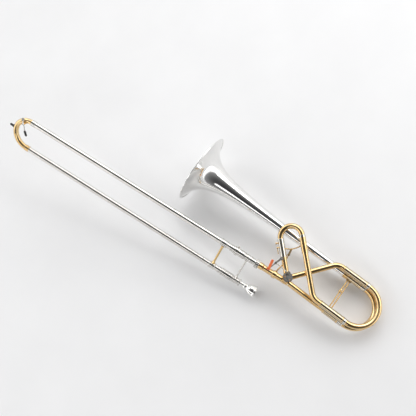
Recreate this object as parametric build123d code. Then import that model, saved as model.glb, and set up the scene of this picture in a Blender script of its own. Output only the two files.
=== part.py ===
"""Tenor trombone with an F attachment, slide closed, lying on its side.

Two working frames are used, and one resting placement at the end.

Slide frame: origin on the axis of the bell-side slide leg at the mouth of its cork barrel,
X forward along the slide to the crook, Y across to the mouthpiece leg, Z out of the slide plane.

Bell frame: origin on the slide axis where the bell section starts, X forward along the bell,
Y out of the bell plane on the valve's side, Z across the bell plane from the neck to the bell.

The resting placement turns the slide frame so that the instrument lies on the plane z = 0,
with the slide's level direction along X and the origin under the middle of its box.
"""

import math
import os

from build123d import *

os.makedirs("parts", exist_ok=True)

# ---------------------------------------------------------------- driving dimensions, mm and degrees
# hand slide
LEG_SPACING = 88.0
BORE_R = 6.95
INNER_TUBE_R = 7.25
STOCKING_R = 7.43
STOCKING_LENGTH = 130.0
OUTER_BORE_R = 7.49
OUTER_TUBE_R = 7.85
CROOK_X = 676.0
INNER_TIP_X = 655.0
OUTER_END_X = -8.0
OUTER_BRACE_X = 31.0
BARREL_R = 10.2
BARREL_BORE_R = 8.3
BARREL_LENGTH = 38.5
INNER_BRACE_X = -44.0
RECEIVER_END_X = -57.0
RIM_X = -111.8
TENON_END_X = -70.0

# bell section
PLANE_ANGLE = -130.0
NECK_BEND_X = -174.5
NECK_ANGLE = 5.0
BELL_OFFSET = 115.0
RIM_FORWARD = 385.0
RIM_R = 101.5
FLARE_SCALE = 20.0
FLARE_POWER = 0.75
FLARE_LENGTH = 132.0
STEM_END_X = -112.0
BELL_WALL = 0.8
MAIN_BOW_X = -173.0
MAIN_SLEEVE_START_X = -112.0
MAIN_SLEEVE_END_X = -158.0
MAIN_TUBE_R = 8.0
MAIN_BOW_R = 8.5
MAIN_SLEEVE_R = 9.4
TUBE_WALL = 0.8
FIT_GAP = 0.06

# valve
VALVE_X = 14.0
VALVE_Z = 7.0
CASING_R = 13.6
CASING_BORE_R = 11.8
CASING_LOW_Y = -14.0
CASING_HIGH_Y = 20.0
PORT_Y = 5.0
PASSAGE_OFFSET = 6.6

# F attachment tubing
F_TUBE_R = 7.75
F_SLEEVE_R = 8.7
F_PLANE_Y = 22.0
F_BOW_SPACING = 116.6
F_BOW_X = -174.0
F_LOWER_Z = 2.7
F_LONG_SLEEVE_START_X = -92.0
F_LONG_SLEEVE_END_X = -166.0
F_CORNER_X = -74.0
SHORT_LEG_ANGLE = 44.0
SHORT_LEG_RISE = 6.0
SHORT_LEFT_OFFSET = -3.5
SHORT_RIGHT_OFFSET = 51.0
SHORT_BOW_S = 122.0
SHORT_SLEEVE_START_S = 72.0
SHORT_SLEEVE_END_S = 115.0

# thumb lever and linkage, a planar four-bar above the valve
CRANK_R = 8.5
CRANK_SWING = 75.0
LEVER_PIVOT_X = 57.0
LEVER_PIVOT_Z = 37.0
LEVER_ARM = 21.0
LINK_Y = 30.0

# how the instrument lies on its bell rim, tuning bow and mouthpiece rim, in degrees
SLIDE_CLIMB = 10.20
SLIDE_ROLL = 39.56

# ---------------------------------------------------------------- frames and helpers


def v(x, y, z):
    return Vector(x, y, z)


def bell_axes():
    """Returns the bell frame's origin and its X and Y axes in the slide frame."""
    plane = math.radians(PLANE_ANGLE)
    neck = math.radians(NECK_ANGLE)
    across = v(0, math.cos(plane), math.sin(plane))
    outward = v(0, math.sin(plane), -math.cos(plane))
    forward = v(1, 0, 0) * math.cos(neck) + across * math.sin(neck)
    return v(NECK_BEND_X, 0, 0), forward, outward


def bell_plane():
    """The bell frame as a plane: local X forward, local Y out of the bell plane, local Z to the bell."""
    origin, forward, outward = bell_axes()
    return Plane(origin=origin, x_dir=forward, z_dir=forward.cross(outward))


def pipe(start, end, outer, inner):
    """A straight round tube between two points."""
    run = end - start
    section = Plane(origin=start, z_dir=run) * (Circle(outer) - Circle(inner))
    return extrude(section, amount=run.length, dir=run.normalized())


def rod(start, end, radius):
    """A straight round bar between two points."""
    run = end - start
    return extrude(Plane(origin=start, z_dir=run) * Circle(radius), amount=run.length, dir=run.normalized())


def bent_pipe(points, bend, outer, inner):
    """A round tube along straight runs joined by arcs of one radius."""
    path = FilletPolyline(*points, radius=bend)
    section = Plane(origin=path @ 0, z_dir=path % 0) * (Circle(outer) - Circle(inner))
    return sweep(section, path=path)


def bow_pipe(first, second, onward, outer, inner):
    """A half-circle tube from first to second that bulges towards onward."""
    chord = second - first
    centre = (first + second) * 0.5
    face = Plane(origin=first, z_dir=onward) * (Circle(outer) - Circle(inner))
    turn = Axis(centre, onward.cross(chord).normalized())
    return revolve(face, axis=turn, revolution_arc=180)


def turned(profile, start, along):
    """A turned solid: profile is (distance along the axis, radius) pairs, closed on the axis side."""
    side = Plane(origin=start, z_dir=along)
    plane = Plane(origin=start, x_dir=along, z_dir=side.x_dir)
    outline = Polyline(*[(d, r) for d, r in profile], close=True)
    return revolve(plane * make_face(outline), axis=Axis(start, along))


def ring(centre, along, half_length, outer, inner):
    """A short collar centred on a point, with eased outer edges."""
    ease = min(0.6, half_length * 0.4, (outer - inner) * 0.4)
    profile = [
        (-half_length, inner),
        (-half_length, outer - ease),
        (ease - half_length, outer),
        (half_length - ease, outer),
        (half_length, outer - ease),
        (half_length, inner),
    ]
    return turned(profile, centre, along)


def ball(centre, radius):
    return Location(centre) * Sphere(radius)


def slab(centre, x_dir, z_dir, size_x, size_y, size_z):
    """A box whose own axes are x_dir and z_dir, centred on a point."""
    return Plane(origin=centre, x_dir=x_dir, z_dir=z_dir) * Box(size_x, size_y, size_z)


FORWARD = v(1, 0, 0)
SLIDE_Z = v(0, 0, 1)


def on_leg(x, leg):
    """A point on the axis of leg 0, the bell side, or leg 1, the mouthpiece side."""
    return v(x, LEG_SPACING * leg, 0)


# ---------------------------------------------------------------- hand slide, inner


def inner_tube(leg):
    """Inner slide tube with the thicker stocking at its front end."""
    stocking_x = INNER_TIP_X - STOCKING_LENGTH
    back_x = TENON_END_X if leg == 0 else RECEIVER_END_X
    profile = [
        (back_x, BORE_R),
        (back_x, INNER_TUBE_R),
        (stocking_x, INNER_TUBE_R),
        (stocking_x + 2, STOCKING_R),
        (INNER_TIP_X - 1, STOCKING_R),
        (INNER_TIP_X, INNER_TUBE_R),
        (INNER_TIP_X, BORE_R),
    ]
    return turned(profile, on_leg(0, leg), FORWARD)


def cork_barrel(leg):
    """Barrel that the outer slide tube enters, with a bead at each end and a closed back."""
    profile = [
        (0, BARREL_BORE_R),
        (0, BARREL_R + 0.6),
        (-2.5, BARREL_R + 0.6),
        (-3, BARREL_R),
        (-33, BARREL_R),
        (-35, BARREL_R - 1),
        (-BARREL_LENGTH, BARREL_R - 1.5),
        (-BARREL_LENGTH, INNER_TUBE_R),
        (-34, INNER_TUBE_R),
        (-32, BARREL_BORE_R),
    ]
    return turned(profile, on_leg(0, leg), FORWARD)


def barrel_felt(leg):
    """Felt ring that the outer tube's end stops against."""
    return pipe(on_leg(-15, leg), on_leg(OUTER_END_X - 0.4, leg), BARREL_BORE_R - 0.02, INNER_TUBE_R + 0.02)


def inner_slide_brace():
    """Thin cross brace between the inner legs, with a socket ring on each."""
    bar = rod(v(INNER_BRACE_X, 8.6, 0), v(INNER_BRACE_X, LEG_SPACING - 8.6, 0), 2.6)
    parts = [bar]
    for leg in (0, 1):
        side = 1 if leg == 0 else -1
        parts.append(ring(on_leg(INNER_BRACE_X, leg), FORWARD, 5.0, 9.4, INNER_TUBE_R))
        foot = v(INNER_BRACE_X, LEG_SPACING * leg + side * 9.0, 0)
        parts.append(turned([(0, 0), (0, 4.4), (1.5, 4.2), (7, 2.6), (7, 0)], foot, v(0, side, 0)))
    body = fuse_all(parts)
    for leg in (0, 1):
        body = body - rod(on_leg(INNER_BRACE_X - 9, leg), on_leg(INNER_BRACE_X + 9, leg), INNER_TUBE_R)
    return body


def slide_tenon():
    """Tapered sleeve behind the bell-side barrel, held by the bell lock nut."""
    profile = [
        (-50.0, INNER_TUBE_R),
        (-50.0, 9.0),
        (-52.0, 9.6),
        (-55.0, 9.6),
        (-57.0, 8.7),
        (TENON_END_X, 8.3),
        (TENON_END_X, INNER_TUBE_R),
    ]
    return turned(profile, on_leg(0, 0), FORWARD)


def mouthpiece_receiver():
    """Sleeve on the mouthpiece leg behind the inner brace."""
    profile = [
        (-50.0, INNER_TUBE_R),
        (-50.0, 8.6),
        (RECEIVER_END_X, 8.2),
        (RECEIVER_END_X, INNER_TUBE_R),
    ]
    return turned(profile, on_leg(0, 1), FORWARD)


def receiver_ring():
    """Flared ring at the end of the receiver, where the mouthpiece shank enters."""
    profile = [
        (RECEIVER_END_X, 6.5),
        (RECEIVER_END_X, 8.6),
        (RECEIVER_END_X - 1.5, 10.0),
        (RECEIVER_END_X - 4.0, 10.0),
        (RECEIVER_END_X - 5.0, 9.0),
        (RECEIVER_END_X - 5.0, 6.5),
    ]
    return turned(profile, on_leg(0, 1), FORWARD)


def leadpipe():
    """Tapered pipe inside the mouthpiece leg."""
    profile = [
        (-27, 5.2),
        (-27, BORE_R - 0.02),
        (170, BORE_R - 0.02),
        (170, 6.5),
    ]
    return turned(profile, on_leg(0, 1), FORWARD)


def mouthpiece():
    """Cup, throat and shank, with the rim facing back to the player."""
    profile = [
        (0.0, 12.9),
        (0.6, 13.6),
        (0.0, 15.2),
        (0.9, 17.6),
        (2.6, 18.4),
        (4.6, 18.0),
        (7.0, 16.9),
        (14.0, 16.0),
        (19.0, 14.6),
        (24.0, 12.0),
        (28.0, 9.0),
        (31.0, 8.4),
        (33.0, 9.0),
        (35.5, 8.4),
        (38.0, 7.2),
        (48.0, 6.42),
        (80.0, 5.9),
        (80.0, 4.9),
        (40.0, 3.6),
        (27.0, 3.4),
        (24.5, 4.0),
        (21.0, 7.5),
        (15.0, 11.0),
        (8.0, 12.3),
    ]
    return turned(profile, on_leg(RIM_X, 1), FORWARD)


def slide_lock_ring():
    """Ring round the bell-side barrel with a small knob, turned to lock the slide."""
    band = ring(on_leg(-9, 0), FORWARD, 4.2, 12.4, BARREL_R + 0.08)
    stem = rod(v(-9, -11.8, 0), v(-9, -15.5, 0), 1.6)
    knob = ball(v(-9, -17.0, 0), 2.8)
    return band + stem + knob


def bell_lock_nut():
    """Knurled nut that pulls the slide tenon into the neck."""
    nut = pipe(on_leg(-79, 0), on_leg(-68, 0), 12.6, 9.7)
    for step in range(14):
        turn = math.radians(step * 360 / 14)
        groove = v(-73.5, 12.9 * math.cos(turn), 12.9 * math.sin(turn))
        nut = nut - rod(groove - FORWARD * 8, groove + FORWARD * 8, 1.2)
    return nut


# ---------------------------------------------------------------- hand slide, outer


def outer_tube(leg):
    return pipe(on_leg(OUTER_END_X, leg), on_leg(CROOK_X, leg), OUTER_TUBE_R, OUTER_BORE_R)


def slide_crook():
    """The U bow at the far end of the slide."""
    return bow_pipe(on_leg(CROOK_X, 0), on_leg(CROOK_X, 1), FORWARD, OUTER_TUBE_R, OUTER_BORE_R)


def crook_ferrules():
    """Joint sleeves over the slide tubes next to the crook."""
    return [ring(on_leg(CROOK_X - 7, leg), FORWARD, 6.5, 8.9, OUTER_TUBE_R) for leg in (0, 1)]


def outer_end_ferrules():
    """Rings at the open ends of the outer tubes."""
    return [ring(on_leg(6, leg), FORWARD, 4.5, 9.2, OUTER_TUBE_R) for leg in (0, 1)]


def outer_slide_brace():
    """The brace that the right hand holds, with a long socket on each tube."""
    parts = [rod(v(OUTER_BRACE_X, 9.2, 0), v(OUTER_BRACE_X, LEG_SPACING - 9.2, 0), 3.4)]
    for leg in (0, 1):
        side = 1 if leg == 0 else -1
        parts.append(ring(on_leg(OUTER_BRACE_X, leg), FORWARD, 10.0, 9.4, OUTER_TUBE_R))
        foot = v(OUTER_BRACE_X, LEG_SPACING * leg + side * 9.0, 0)
        parts.append(turned([(0, 0), (0, 5.6), (2, 5.4), (8, 3.4), (8, 0)], foot, v(0, side, 0)))
    body = fuse_all(parts)
    for leg in (0, 1):
        body = body - rod(on_leg(OUTER_BRACE_X - 12, leg), on_leg(OUTER_BRACE_X + 12, leg), OUTER_TUBE_R)
    return body


def slide_bumper():
    """Slim rubber stop on the outside of the crook."""
    start = v(CROOK_X + LEG_SPACING / 2 + OUTER_TUBE_R - 1.2, LEG_SPACING / 2, 0)
    profile = [(0, 0), (0, 4.6), (3, 4.6), (4.5, 3.5), (12, 3.3), (14.5, 2.4), (15, 0)]
    bumper = turned(profile, start, FORWARD)
    return bumper - crook_solid()


# water key on the bell-side shoulder of the crook
KEY_ANGLE = 26.0
KEY_LIFT = 60.0


def key_frame():
    """Centre of the tube under the water key, the outward radius and the tangent there."""
    turn = math.radians(KEY_ANGLE)
    radial = v(math.sin(turn), -math.cos(turn), 0)
    tangent = v(math.cos(turn), math.sin(turn), 0)
    centre = v(CROOK_X, LEG_SPACING / 2, 0) + radial * (LEG_SPACING / 2)
    return centre, radial, tangent


def key_point(radial_mm, tangent_mm, up_mm):
    centre, radial, tangent = key_frame()
    return centre + radial * radial_mm + tangent * tangent_mm + SLIDE_Z * up_mm


def nipple_axis():
    """Direction in which the water nipple points, between outward and up."""
    _, radial, _ = key_frame()
    lift = math.radians(KEY_LIFT)
    return radial * math.cos(lift) + SLIDE_Z * math.sin(lift)


def water_key_seat():
    """Water nipple, the saddle with its two posts, and the hinge pin."""
    centre, _, tangent = key_frame()
    aim = nipple_axis()
    nipple = pipe(centre + aim * 6.0, centre + aim * 10.4, 3.2, 1.6) - crook_solid()
    saddle = slab(key_point(-4.0, 0, 7.4), tangent, SLIDE_Z, 10.4, 5.4, 3.0)
    for side in (-1, 1):
        saddle = saddle + slab(key_point(-4.0, side * 4.2, 12.4), tangent, SLIDE_Z, 2.0, 4.4, 9.6)
    pin = key_pin_axis()
    hole = rod(pin - tangent * 8, pin + tangent * 8, 0.9)
    return [nipple, saddle - crook_solid() - hole, water_key_pin()]


def crook_solid():
    """The crook's outside as a solid, which the fittings on it are cut back to."""
    return bow_pipe(on_leg(CROOK_X, 0), on_leg(CROOK_X, 1), FORWARD, OUTER_TUBE_R, 0.4)


def key_pin_axis():
    """Centre of the water key's hinge pin."""
    return key_point(-4.0, 0, 15.0)


def water_key_pin():
    """Hinge pin with a head."""
    _, _, tangent = key_frame()
    pin = key_pin_axis()
    shaft = rod(pin - tangent * 6.2, pin + tangent * 5.4, 0.9)
    head = rod(pin - tangent * 6.2, pin - tangent * 4.9, 1.7)
    return shaft + head


def key_tip_point():
    """Where the rubber tip starts on the long arm."""
    return key_point(-27.0, 3.5, 11.0)


def water_key_lever():
    """Hinge tube, the short arm with its cork cup, and the long arm into the slide's U."""
    centre, _, tangent = key_frame()
    aim = nipple_axis()
    pin = key_pin_axis()
    hub = rod(pin - tangent * 3.0, pin + tangent * 3.0, 2.1)
    cup = rod(centre + aim * 13.1, centre + aim * 16.6, 4.3)
    short_arm = rod(pin, centre + aim * 15.4, 1.5)
    bend = key_point(-14.0, 1.0, 12.0)
    tip = key_tip_point()
    long_arm = rod(pin, bend, 1.4) + ball(bend, 1.4) + rod(bend, tip, 1.4)
    body = hub + cup + short_arm + long_arm - water_key_cork() - water_key_tip()
    return body - rod(pin - tangent * 8, pin + tangent * 8, 0.96)


def water_key_cork():
    centre, _, _ = key_frame()
    aim = nipple_axis()
    return rod(centre + aim * 10.6, centre + aim * 13.1, 3.7)


def water_key_tip():
    """Long black rubber tip on the end of the long arm."""
    tip = key_tip_point()
    end = key_point(-45.0, 1.5, 10.0)
    run = (end - tip).normalized()
    return turned([(0, 0), (0, 2.0), (2, 3.2), (14, 3.2), (17, 2.0), (17, 0)], tip, run)


# ---------------------------------------------------------------- neck, valve and thumb lever, bell frame


def neck_point(x):
    """Where the slide axis runs, seen in the bell frame, at distance x in front of the bend."""
    return v(x, 0, -x * math.tan(math.radians(NECK_ANGLE)))


def gooseneck():
    """Tube from the lock nut to the valve, with a wide socket at the front."""
    start = neck_point(98.0)
    back = neck_point(4.0)
    run = (back - start).normalized()
    length = (back - start).length
    profile = [
        (-1.0, 8.6),
        (-1.0, 9.6),
        (14.0, 9.6),
        (17.0, 8.5),
        (length, 8.2),
        (length, 7.2),
        (14.0, 7.4),
        (13.0, 8.6),
    ]
    neck = turned(profile, start, run)
    return neck - casing_envelope()


def casing_envelope():
    """The outside of the valve casing as a solid, which the tubes are cut back to."""
    low = v(VALVE_X, CASING_LOW_Y - 4, VALVE_Z)
    high = v(VALVE_X, CASING_HIGH_Y + 4, VALVE_Z)
    return rod(low, high, CASING_R)


def gooseneck_collar():
    here = neck_point(47.0)
    return ring(here, neck_point(50.0) - here, 5.5, 10.8, 8.42)


def rotor_casing():
    """Cylinder with four ports."""
    low = v(VALVE_X, CASING_LOW_Y, VALVE_Z)
    high = v(VALVE_X, CASING_HIGH_Y, VALVE_Z)
    body = pipe(low, high, CASING_R, CASING_BORE_R)
    ports = [
        rod(neck_point(14.0), neck_point(40.0), 7.0),
        rod(v(10, 0, 0), v(-20, 0, 0), 7.0),
        rod(valve_centre(), short_leg_point(0, 45), 6.4),
        rod(valve_centre(), v(F_CORNER_X, F_PLANE_Y, diagonal_corner_z()), 6.4),
    ]
    return body - ports[0] - ports[1] - ports[2] - ports[3]


def valve_centre():
    return v(VALVE_X, PORT_Y, VALVE_Z)


def valve_plates():
    """Front bearing plate, back cap, and the plate that carries the two stop corks."""
    front_start = v(VALVE_X, CASING_HIGH_Y, VALVE_Z)
    front_end = v(VALVE_X, CASING_HIGH_Y + 2.2, VALVE_Z)
    front = pipe(front_start, front_end, CASING_R - 1.0, 3.06)
    back = turned(
        [(0, 0), (0, CASING_R), (2.5, CASING_R), (4.0, 11.0), (4.5, 6.0), (4.5, 0)],
        v(VALVE_X, CASING_LOW_Y, VALVE_Z),
        v(0, -1, 0),
    )
    return [front, back, stop_plate()]


def stop_plate():
    """Thin plate on the front bearing, with a lug behind each cork."""
    low = CASING_HIGH_Y + 2.2
    plate = pipe(v(VALVE_X, low, VALVE_Z), v(VALVE_X, low + 0.8, VALVE_Z), 11.9, 3.2)
    for side in (-1, 1):
        turn = stop_cork_turn() + math.radians(18)
        outward = v(side * math.sin(turn), 0, -math.cos(turn))
        centre = v(VALVE_X, low + 2.2, VALVE_Z) + outward * STOP_LOBE_R
        plate = plate + slab(centre, outward, v(0, 1, 0), 5.0, 1.0, 4.4)
    return plate


STOP_LOBE_R = 8.5
STOP_CORK_R = 2.0


def stop_cork_turn():
    """Angle of each cork's axis from the middle of the lobe's swing."""
    return math.radians(CRANK_SWING / 2) + math.asin((STOP_CORK_R + 1.6) / STOP_LOBE_R)


def stop_cork_centre(side):
    """Cork on one side, just clear of the stop lobe at that end of its swing."""
    turn = stop_cork_turn()
    low = CASING_HIGH_Y + 3.0
    return v(VALVE_X + side * STOP_LOBE_R * math.sin(turn), low, VALVE_Z - STOP_LOBE_R * math.cos(turn))


def stop_corks():
    corks = []
    for side in (-1, 1):
        foot = stop_cork_centre(side)
        corks.append(rod(foot, foot + v(0, 3.4, 0), STOP_CORK_R))
    return corks


def crank_pin_point(y):
    """The linkage screw at rest, on the crook side of its swing."""
    turn = math.radians(CRANK_SWING / 2)
    return v(VALVE_X + CRANK_R * math.sin(turn), y, VALVE_Z + CRANK_R * math.cos(turn))


def rotor_core():
    """Rotor with its two air passages and the shaft that comes out of the front plate."""
    back_end = v(VALVE_X, CASING_LOW_Y + 0.3, VALVE_Z)
    front_end = v(VALVE_X, CASING_HIGH_Y - 0.3, VALVE_Z)
    shaft_end = v(VALVE_X, CASING_HIGH_Y + 3.4, VALVE_Z)
    body = rod(back_end, front_end, CASING_BORE_R - 0.06)
    shaft = rod(front_end, shaft_end, 3.0)
    low = VALVE_Z - PASSAGE_OFFSET
    low_way = rod(v(VALVE_X - 20, 0, low), v(VALVE_X + 20, 0, low), 4.0)
    high = VALVE_Z + PASSAGE_OFFSET
    high_way = rod(v(VALVE_X - 20, PORT_Y, high), v(VALVE_X + 20, PORT_Y, high), 4.0)
    return body + shaft - low_way - high_way


def rotor_crank():
    """Crank arm on the shaft: the linkage side carries the screw, the other side is the stop lobe."""
    low = CASING_HIGH_Y + 3.4
    high = low + 3.0
    turn = math.radians(CRANK_SWING / 2)
    aim = v(math.sin(turn), 0, math.cos(turn))
    hub = rod(v(VALVE_X, low, VALVE_Z), v(VALVE_X, high, VALVE_Z), 5.0)
    centre = v(VALVE_X, (low + high) / 2, VALVE_Z)
    arm = slab(centre + aim * (CRANK_R / 2), aim, v(0, 1, 0), CRANK_R, 5.0, high - low)
    tip = rod(crank_pin_point(low), crank_pin_point(high), 3.0)
    lobe = slab(centre - aim * (STOP_LOBE_R / 2 + 1.0), aim, v(0, 1, 0), STOP_LOBE_R + 2, 3.0, high - low)
    cap = rod(v(VALVE_X, high, VALVE_Z), v(VALVE_X, high + 1.2, VALVE_Z), 2.6)
    return hub + arm + tip + lobe + cap


def linkage_screw(foot, length):
    """Shouldered screw: a plain pin with a slotted round head."""
    up = v(0, 1, 0)
    screw = rod(foot, foot + up * length, 1.3) + rod(foot + up * length, foot + up * (length + 1.4), 2.4)
    slot = slab(foot + up * (length + 1.3), v(1, 0, 0), up, 6, 0.6, 0.8)
    return screw - slot


def lever_joint_point(y):
    """Where the rod is pinned to the lever at rest."""
    reach = math.radians(lever_swing() / 2)
    return v(LEVER_PIVOT_X + LEVER_ARM * math.sin(reach), y, LEVER_PIVOT_Z - LEVER_ARM * math.cos(reach))


def lever_swing():
    """Lever travel that swings the crank through CRANK_SWING, equal chords at both ends of the rod."""
    chord = CRANK_R * math.sin(math.radians(CRANK_SWING / 2))
    return 2 * math.degrees(math.asin(chord / LEVER_ARM))


ROD_LOW_Y = LINK_Y - 1.6
ROD_HIGH_Y = LINK_Y + 1.6
EYE_SHIFT = 1.2
EYE_SLOT = 2.6
EYE_R = 1.75


def linkage_rod():
    """Thin rod with an eye at each end; the valve's eye is a short slot and the screw is free in it."""
    valve_eye = crank_pin_point(ROD_LOW_Y) + v(0, 0, EYE_SHIFT)
    lever_eye = lever_joint_point(ROD_LOW_Y)
    tall = v(0, ROD_HIGH_Y - ROD_LOW_Y, 0)
    run = (lever_eye - valve_eye).normalized()
    middle = tall * 0.5
    bar = rod(valve_eye + middle + run * 3.8, lever_eye + middle - run * 2.6, 1.25)
    body = bar + rod(valve_eye, valve_eye + tall, 4.9) + rod(lever_eye, lever_eye + tall, 3.4)
    slot = slab(valve_eye + middle, v(0, 0, 1), v(0, 1, 0), EYE_SLOT, 2 * EYE_R, 10)
    for side in (-0.5, 0.5):
        end = valve_eye + v(0, 0, side * EYE_SLOT)
        slot = slot + rod(end - tall, end + tall * 2, EYE_R)
    return body - slot - rod(lever_eye - tall, lever_eye + tall * 2, 1.36)


LEVER_LOW_Y = 24.6
LEVER_HIGH_Y = 27.4


TOUCH_TOP = (70.4, 17.5)
TOUCH_END = (66.3, -6.5)


def thumb_lever():
    """Flat lever: hub on the pivot post, arm to the rod joint, then a bent arm to the touch piece."""
    hub_low = v(LEVER_PIVOT_X, LEVER_LOW_Y, LEVER_PIVOT_Z)
    hub_high = v(LEVER_PIVOT_X, LEVER_HIGH_Y, LEVER_PIVOT_Z)
    hub = rod(hub_low, hub_high, 4.2)
    joint_low = lever_joint_point(LEVER_LOW_Y)
    joint_high = lever_joint_point(LEVER_HIGH_Y)
    eye = rod(joint_low, joint_high, 3.6)
    mid_y = (LEVER_LOW_Y + LEVER_HIGH_Y) / 2
    pivot = v(LEVER_PIVOT_X, mid_y, LEVER_PIVOT_Z)
    joint = lever_joint_point(mid_y)
    run = joint - pivot
    arm = slab(pivot + run * 0.5, run.normalized(), v(0, 1, 0), run.length, 4.4, LEVER_HIGH_Y - LEVER_LOW_Y)
    carrier_end = v(TOUCH_END[0] + 0.7, mid_y, TOUCH_END[1] + 5)
    spread = carrier_end - joint
    carrier = slab(joint + spread * 0.5, spread.normalized(), v(0, 1, 0), spread.length, 2.8, 2.4)
    body = hub + eye + arm + carrier
    bore = rod(v(LEVER_PIVOT_X, 15, LEVER_PIVOT_Z), v(LEVER_PIVOT_X, 35, LEVER_PIVOT_Z), 2.06)
    return body - bore


def touch_piece():
    """Rounded touch piece that the thumb presses, over the lever's carrier arm."""
    mid_y = (LEVER_LOW_Y + LEVER_HIGH_Y) / 2
    top = v(TOUCH_TOP[0] + 2.2, mid_y, TOUCH_TOP[1] - 2)
    end = v(TOUCH_END[0] + 2.2, mid_y, TOUCH_END[1])
    run = end - top
    middle = Plane(origin=top + run * 0.5, x_dir=run.normalized(), z_dir=v(0, 1, 0))
    blank = middle * Box(run.length + 8, 7.6, 10.0)
    pad = fillet(blank.edges().filter_by(lambda e: e.length > 6.0), 2.6)
    return pad - thumb_lever()


def lever_post():
    """Post soldered to the straight leg, with the pivot pin and a foot."""
    foot = short_leg_point(0, 70)
    base = v(LEVER_PIVOT_X, 9.0, LEVER_PIVOT_Z)
    post = rod(base, v(LEVER_PIVOT_X, 17.0, LEVER_PIVOT_Z), 3.6)
    pin = rod(v(LEVER_PIVOT_X, 17.0, LEVER_PIVOT_Z), v(LEVER_PIVOT_X, 28.2, LEVER_PIVOT_Z), 2.0)
    head = rod(v(LEVER_PIVOT_X, 28.2, LEVER_PIVOT_Z), v(LEVER_PIVOT_X, 29.6, LEVER_PIVOT_Z), 3.4)
    strut = rod(v(LEVER_PIVOT_X, 11.0, LEVER_PIVOT_Z), v(foot.X, 11.0, foot.Z), 2.4)
    return post + pin + head + strut - short_leg_solid(0, 20, 120, F_TUBE_R)


def lever_spring():
    """Return spring coiled on the post below the lever, as five round turns."""
    turns = []
    for step in range(5):
        here = v(LEVER_PIVOT_X, 18.0 + step * 1.25, LEVER_PIVOT_Z)
        turns.append(Plane(origin=here, z_dir=v(0, 1, 0)) * Torus(3.4, 0.55))
    return turns


def neck_brace():
    """Brace from the neck to the straight leg, beside the lever."""
    low = neck_point(48.0)
    foot = v(47.0, 8.0, 12.0)
    top = short_leg_point(0, 56)
    lower = v(low.X, low.Y + 6, low.Z + 3)
    bar = rod(lower, foot, 2.2) + ball(foot, 2.2) + rod(foot, top, 2.2)
    collar = ring(neck_point(47.0), neck_point(50.0) - neck_point(47.0), 5.5, 10.8, 0)
    neck = rod(neck_point(5), neck_point(95), 8.6)
    return bar - collar - neck - short_leg_solid(0, 20, 120, F_TUBE_R)


# ---------------------------------------------------------------- F attachment tubing, bell frame


def short_axes():
    """Direction of the short slide's legs, and the direction across them in the bell plane."""
    turn = math.radians(SHORT_LEG_ANGLE)
    rise = math.radians(SHORT_LEG_RISE)
    flat = v(math.cos(turn), 0, math.sin(turn))
    along = flat * math.cos(rise) + v(0, 1, 0) * math.sin(rise)
    across = v(-math.sin(turn), 0, math.cos(turn))
    return along, flat, across


def short_leg_point(leg, s):
    """Point on leg 0, from the valve, or leg 1, the cross tube, at s along the legs' direction."""
    _, flat, across = short_axes()
    rise = math.tan(math.radians(SHORT_LEG_RISE))
    if leg == 0:
        start = flat.dot(v(VALVE_X, 0, VALVE_Z))
        return flat * s + across * SHORT_LEFT_OFFSET + v(0, PORT_Y + rise * (s - start), 0)
    corner = cross_corner()
    start = flat.dot(v(corner.X, 0, corner.Z))
    return flat * s + across * SHORT_RIGHT_OFFSET + v(0, F_PLANE_Y + rise * (s - start), 0)


def cross_corner():
    """Where the cross tube's line meets the lower long leg's line."""
    turn = math.radians(SHORT_LEG_ANGLE)
    x = (F_LOWER_Z * math.cos(turn) - SHORT_RIGHT_OFFSET) / math.sin(turn)
    return v(x, F_PLANE_Y, F_LOWER_Z)


def leg_shift():
    """How much further along its leg the right end lies, so that the bow's ends are square."""
    along, flat, _ = short_axes()
    gap = short_leg_point(1, SHORT_BOW_S) - short_leg_point(0, SHORT_BOW_S)
    return -gap.dot(along) / along.dot(flat) * math.cos(math.radians(SHORT_LEG_RISE)) ** 2


def short_leg_solid(leg, start, end, radius):
    return rod(short_leg_point(leg, start), short_leg_point(leg, end), radius)


def short_end(leg, s):
    """As short_leg_point, but with the right leg's squared-off ends."""
    return short_leg_point(leg, s + (leg_shift() if leg == 1 else 0.0))


def diagonal_corner_z():
    return F_LOWER_Z + F_BOW_SPACING


def valve_leg():
    """Straight tube from the valve to the short slide's left sleeve."""
    start = short_leg_point(0, 18)
    end = short_leg_point(0, SHORT_SLEEVE_START_S)
    tube = pipe(start, end, F_TUBE_R, F_TUBE_R - TUBE_WALL)
    return tube - casing_envelope() - rod(neck_point(4), neck_point(98), 8.6)


def short_sleeves():
    """Two outer sleeves of the short slide."""
    inner = F_TUBE_R - 0.9 + FIT_GAP
    return [
        pipe(short_end(leg, SHORT_SLEEVE_START_S), short_end(leg, SHORT_SLEEVE_END_S), F_SLEEVE_R, inner)
        for leg in (0, 1)
    ]


def short_bow():
    """Bow of the short slide."""
    along, _, _ = short_axes()
    left = short_end(0, SHORT_BOW_S)
    right = short_end(1, SHORT_BOW_S)
    return bow_pipe(left, right, along, F_TUBE_R, F_TUBE_R - TUBE_WALL)


def slide_leg(shoulder, tip, outer, ferrule, bow_start):
    """Inner leg of a tuning slide: a tube from tip to the bow with a ferrule against the sleeve."""
    run = bow_start - tip
    length = run.length
    stop = (shoulder - tip).length
    profile = [
        (0, outer - 0.9),
        (0, outer),
        (stop + 0.3, outer),
        (stop + 0.3, ferrule),
        (length - 1.0, ferrule),
        (length, ferrule - 0.8),
        (length, outer - 0.9),
    ]
    return turned(profile, tip, run.normalized())


def short_slide_legs():
    outer = F_TUBE_R - 0.9
    return [
        slide_leg(
            short_end(leg, SHORT_SLEEVE_END_S),
            short_end(leg, SHORT_SLEEVE_START_S + 3),
            outer,
            F_SLEEVE_R + 0.2,
            short_end(leg, SHORT_BOW_S),
        )
        for leg in (0, 1)
    ]


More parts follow.
